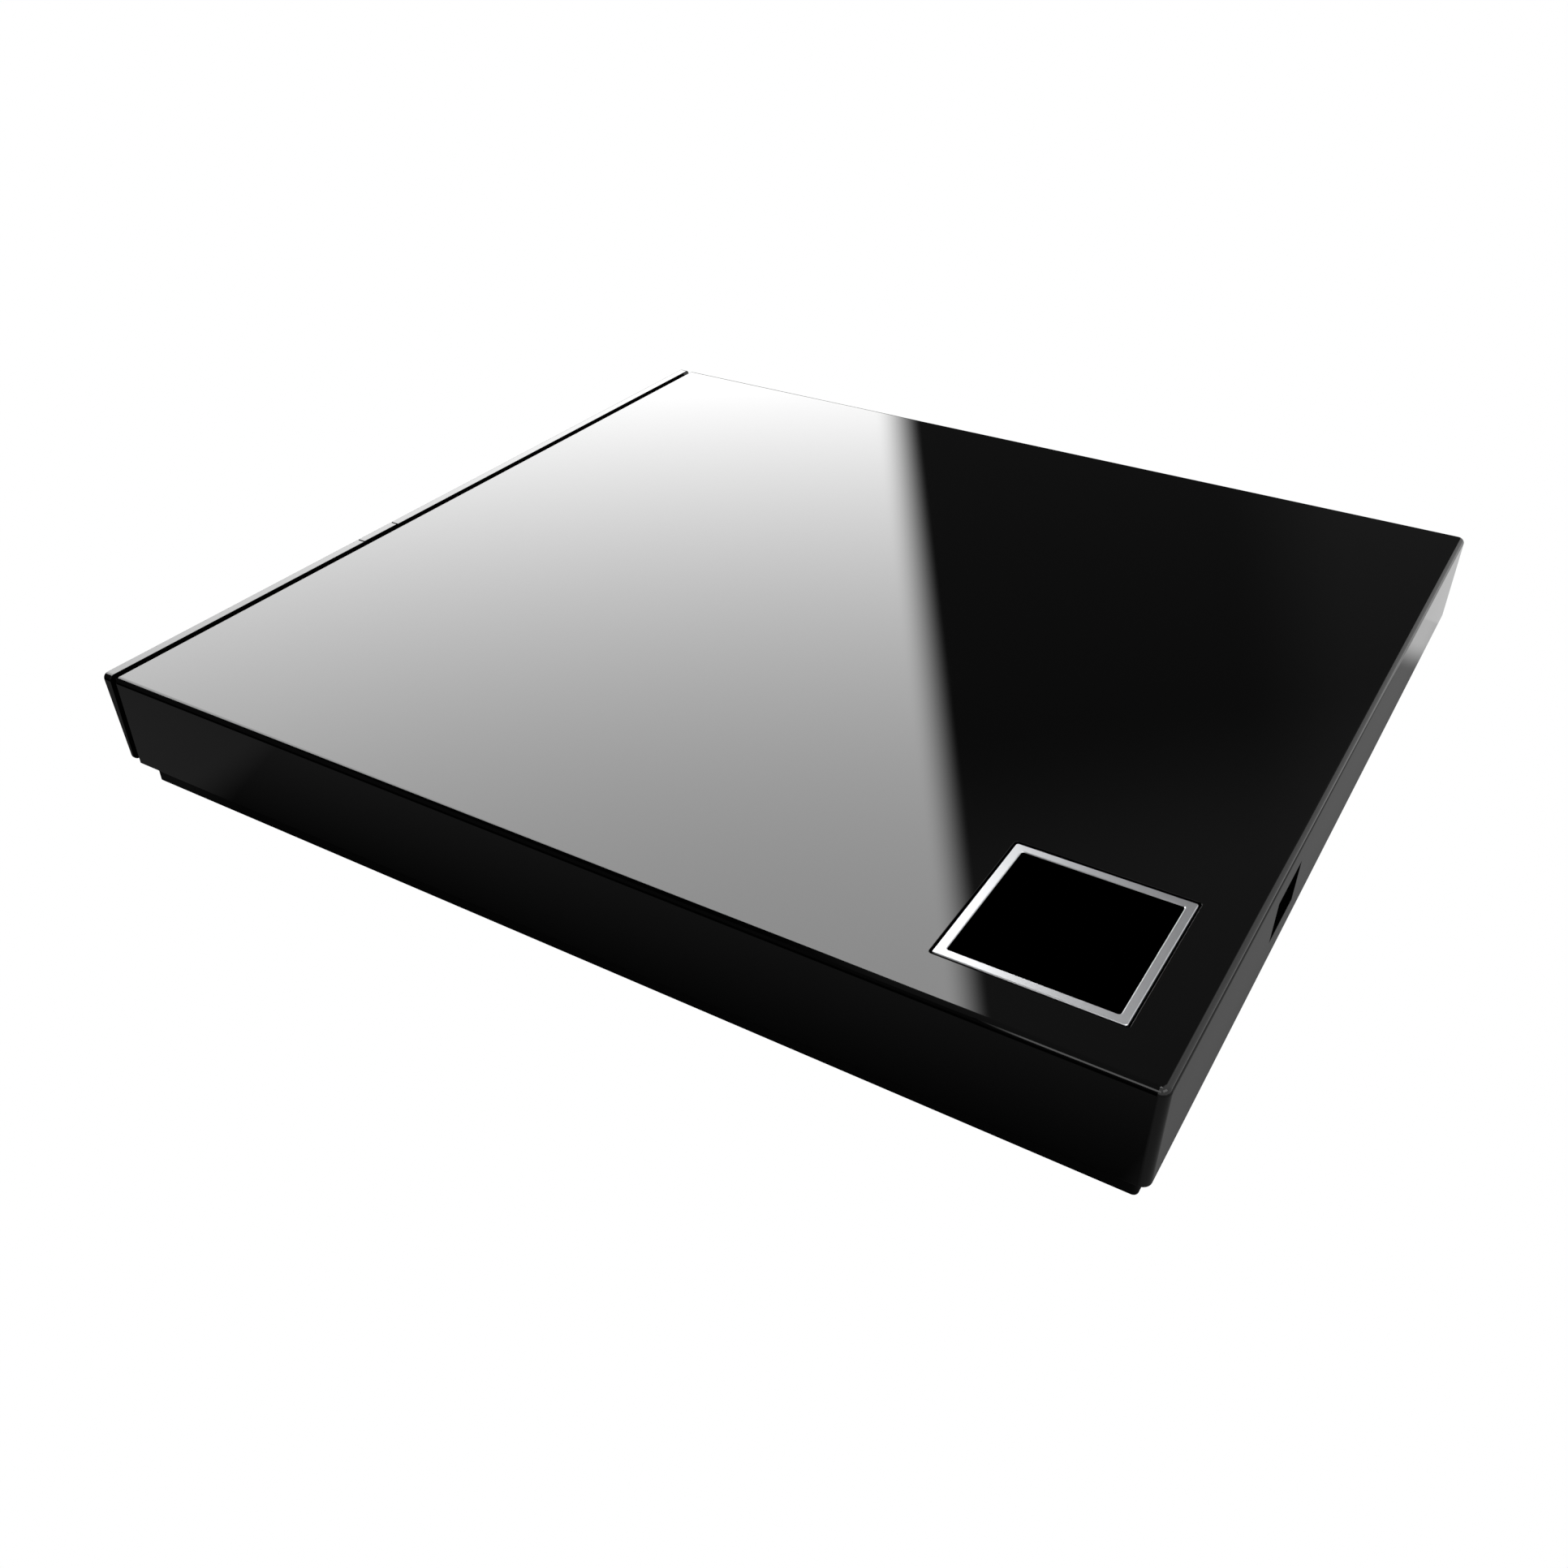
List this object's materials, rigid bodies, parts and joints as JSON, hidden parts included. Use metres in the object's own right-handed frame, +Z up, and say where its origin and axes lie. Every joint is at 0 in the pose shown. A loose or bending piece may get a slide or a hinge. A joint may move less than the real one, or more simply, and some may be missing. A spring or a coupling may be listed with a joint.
{
  "type": "external optical disc drive",
  "caption": "Slim free-standing optical disc drive: gloss black case, full-width front panel on a sliding tray with spindle and laser pickup, square blank emblem, rear data port.",
  "frame": {"origin": "on the table under the middle of the case", "axes": "+Z up, the tray opens towards -Y, +X is the right-hand side seen from the front, +Y towards the rear port"},
  "size_m": [0.155, 0.17, 0.0206],
  "materials": {
    "gloss_black_shell": "high-gloss moulded ABS, piano black",
    "matte_black_base": "fine spark-eroded texture",
    "rubber": "matt",
    "emblem_silver": "bright brushed",
    "emblem_black": "high gloss, blank",
    "screw_steel": "black-zinc and nickel",
    "zinc_sheet": "electro-galvanised sheet",
    "black_nylon": "moulded",
    "lens_amber": "moulded liquid-crystal polymer",
    "tray_plastic": "fine moulded texture",
    "green_board": "solder mask over glass fibre",
    "chip_epoxy": "moulded epoxy",
    "ribbon_film": "polyester film over flat conductors",
    "lamp_lens": "diffusing light pipe",
    "cast_chassis": "die-cast",
    "bright_steel": "ground",
    "motor_can": "drawn can",
    "copper": "enamelled winding wire",
    "claw_plastic": "acetal",
    "lens_glass": "coated",
    "port_plastic": "moulded"
  },
  "bodies": {
    "housing": {"top_cover": "gloss_black_shell", "bottom_cover": "matte_black_base", "foot_front_left": "rubber", "foot_front_right": "rubber", "foot_rear_left": "rubber", "foot_rear_right": "rubber", "case_screws": "screw_steel", "emblem_frame": "emblem_silver", "emblem_window": "emblem_black", "drive_top_case": "zinc_sheet", "drive_bottom_case": "zinc_sheet", "drive_case_screws": "screw_steel", "rail_guide_left": "black_nylon", "rail_guide_right": "black_nylon", "drive_rear_board": "green_board", "drive_sata_plug": "black_nylon", "flex_ribbon_fixed": "ribbon_film", "bridge_board": "green_board", "bridge_chips": "chip_epoxy", "board_screws": "screw_steel", "sata_receptacle": "black_nylon", "usb_receptacle": "zinc_sheet", "usb_insulator": "port_plastic"},
    "tray": {"front_bezel": "gloss_black_shell", "status_lens": "lamp_lens", "front_board": "green_board", "eject_switch": "black_nylon", "disc_tray": "tray_plastic", "tray_cover_plate": "zinc_sheet", "tray_bottom_plate": "zinc_sheet", "tray_board": "green_board", "tray_board_screws": "screw_steel", "tray_chips": "chip_epoxy", "flex_ribbon_tray": "ribbon_film", "latch_solenoid": "motor_can", "ejector_spring": "bright_steel", "traverse_chassis": "cast_chassis", "chassis_dampers": "rubber", "chassis_screws": "screw_steel", "guide_rod_main": "bright_steel", "guide_rod_sub": "bright_steel", "spindle_stator": "motor_can", "stator_coils": "copper", "sled_motor": "motor_can"},
    "rail_left": {"slide_rail_left": "zinc_sheet"},
    "rail_right": {"slide_rail_right": "zinc_sheet"},
    "ribbon_loop": {"flex_ribbon_loop": "ribbon_film"},
    "spindle": {"spindle_rotor": "cast_chassis", "turntable_ring": "rubber"},
    "claw_1": {"chuck_claw_1": "claw_plastic"},
    "claw_2": {"chuck_claw_2": "claw_plastic"},
    "claw_3": {"chuck_claw_3": "claw_plastic"},
    "pickup": {"pickup_sled": "cast_chassis", "pickup_cover": "zinc_sheet"},
    "focus": {"lens_holder": "lens_amber", "objective_lenses": "lens_glass"},
    "lead_screw": {"lead_screw": "bright_steel"},
    "latch": {"latch_lever": "black_nylon"},
    "ejector": {"ejector_pin": "bright_steel"},
    "eject_button": {"eject_button": "gloss_black_shell"}
  },
  "joints": [
    {"name": "tray_slide", "type": "slide", "parent": "housing", "child": "tray", "axis": [0, -1, 0], "range_m": [0, 0.13]},
    {"name": "rail_left_slide", "type": "slide", "parent": "housing", "child": "rail_left", "axis": [0, -1, 0], "range_m": [0, 0.065]},
    {"name": "rail_right_slide", "type": "slide", "parent": "housing", "child": "rail_right", "axis": [0, -1, 0], "range_m": [0, 0.065]},
    {"name": "ribbon_roll", "type": "slide", "parent": "housing", "child": "ribbon_loop", "axis": [0, -1, 0], "range_m": [0, 0.065]},
    {"name": "spindle_spin", "type": "hinge", "parent": "tray", "child": "spindle", "pos_m": [0, -0.0195, 0.0148], "axis": [0, 0, 1], "continuous": true},
    {"name": "claw_1_press", "type": "slide", "parent": "spindle", "child": "claw_1", "axis": [-1, 0, 0], "range_m": [0, 0.0005], "stiffness_N_per_m": 300},
    {"name": "claw_2_press", "type": "slide", "parent": "spindle", "child": "claw_2", "axis": [0.5, -0.866, 0], "range_m": [0, 0.0005], "stiffness_N_per_m": 300},
    {"name": "claw_3_press", "type": "slide", "parent": "spindle", "child": "claw_3", "axis": [0.5, 0.866, 0], "range_m": [0, 0.0005], "stiffness_N_per_m": 300},
    {"name": "pickup_travel", "type": "slide", "parent": "tray", "child": "pickup", "axis": [-0.7071, -0.7071, 0], "range_m": [0, 0.033]},
    {"name": "lens_focus", "type": "slide", "parent": "pickup", "child": "focus", "axis": [0, 0, 1], "range_m": [-0.0004, 0.0004], "stiffness_N_per_m": 120},
    {"name": "lead_screw_spin", "type": "hinge", "parent": "tray", "child": "lead_screw", "pos_m": [-0.03359, -0.02834, 0.0097], "axis": [-0.7071, -0.7071, 0], "range_deg": [0, 3970]},
    {"name": "latch_swing", "type": "hinge", "parent": "tray", "child": "latch", "pos_m": [0.0485, -0.054, 0.009], "axis": [0, 0, -1], "range_deg": [0, 14], "stiffness_Nm_per_rad": 0.01},
    {"name": "ejector_push", "type": "slide", "parent": "tray", "child": "ejector", "axis": [0, 1, 0], "range_m": [0, 0.0042]},
    {"name": "eject_press", "type": "slide", "parent": "tray", "child": "eject_button", "axis": [0, 1, 0], "range_m": [0, 0.0005], "stiffness_N_per_m": 600}
  ],
  "couplings": [
    {"joint": "rail_left_slide", "follows": "tray_slide", "ratio": 0.5},
    {"joint": "rail_right_slide", "follows": "tray_slide", "ratio": 0.5},
    {"joint": "ribbon_roll", "follows": "tray_slide", "ratio": 0.5},
    {"joint": "ejector_push", "follows": "tray_slide", "ratio": 0.032275},
    {"joint": "lead_screw_spin", "follows": "pickup_travel", "rad_per_m": 2094.4}
  ]
}
